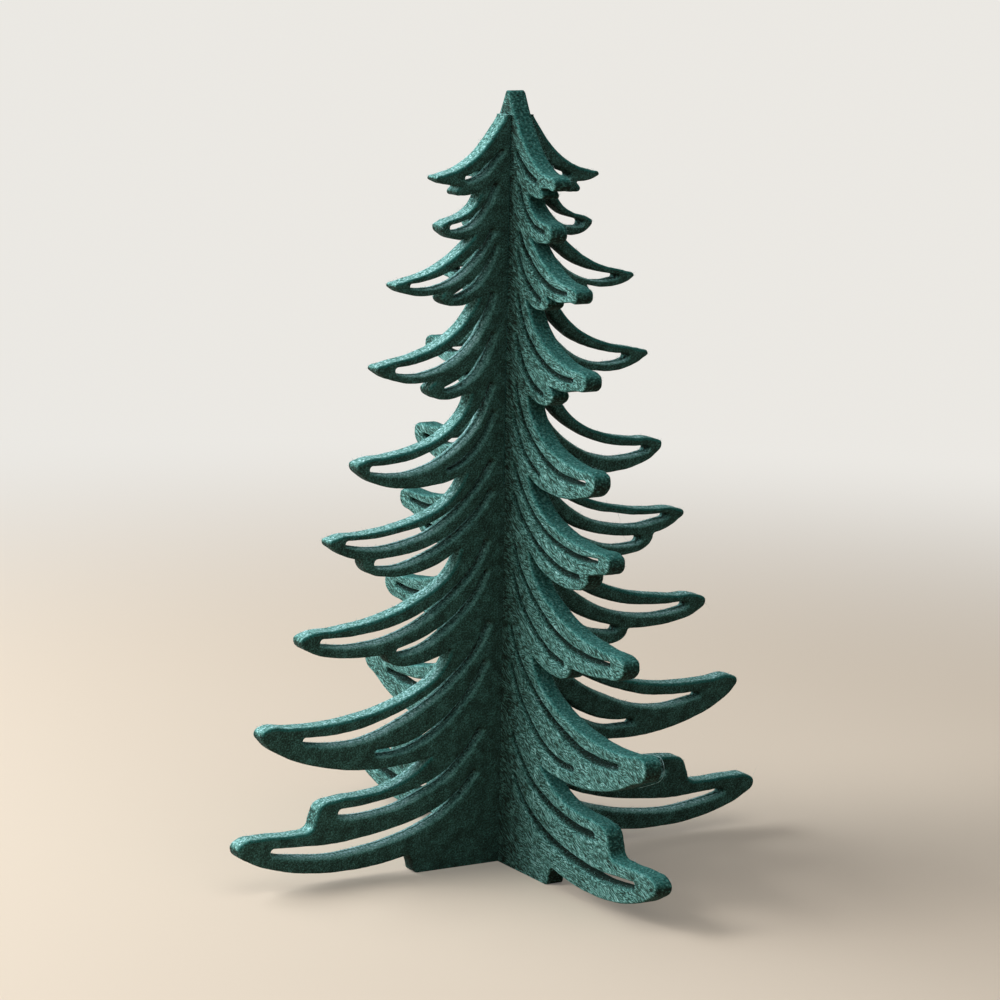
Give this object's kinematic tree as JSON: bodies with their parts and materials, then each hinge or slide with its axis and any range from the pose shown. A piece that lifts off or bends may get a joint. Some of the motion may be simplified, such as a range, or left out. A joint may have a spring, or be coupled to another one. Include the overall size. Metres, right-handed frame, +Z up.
{
  "type": "felt christmas tree",
  "caption": "Table-top fir tree of thick green felt: flat panels with upswept, slit-pierced boughs, slotted together crosswise to stand on their feet, with the crossing panel lifting off.",
  "frame": {"origin": "centre of the two crossed feet, on the surface that the tree stands on", "axes": "+Z up the trunk to the apex, X along the standing panel, Y along the crossing panel"},
  "size_m": [0.2492, 0.2492, 0.32],
  "materials": {
    "felt": "pressed heathered wool felt, matt and slightly fuzzy, deep pine teal"
  },
  "bodies": {
    "standing": {"standing_panel": "felt"},
    "crossing": {"crossing_panel": "felt"}
  },
  "joints": [
    {"name": "crossing_panel_lift", "type": "slide", "parent": "standing", "child": "crossing", "axis": [0, 0, 1], "range_m": [0, 0.312]}
  ]
}
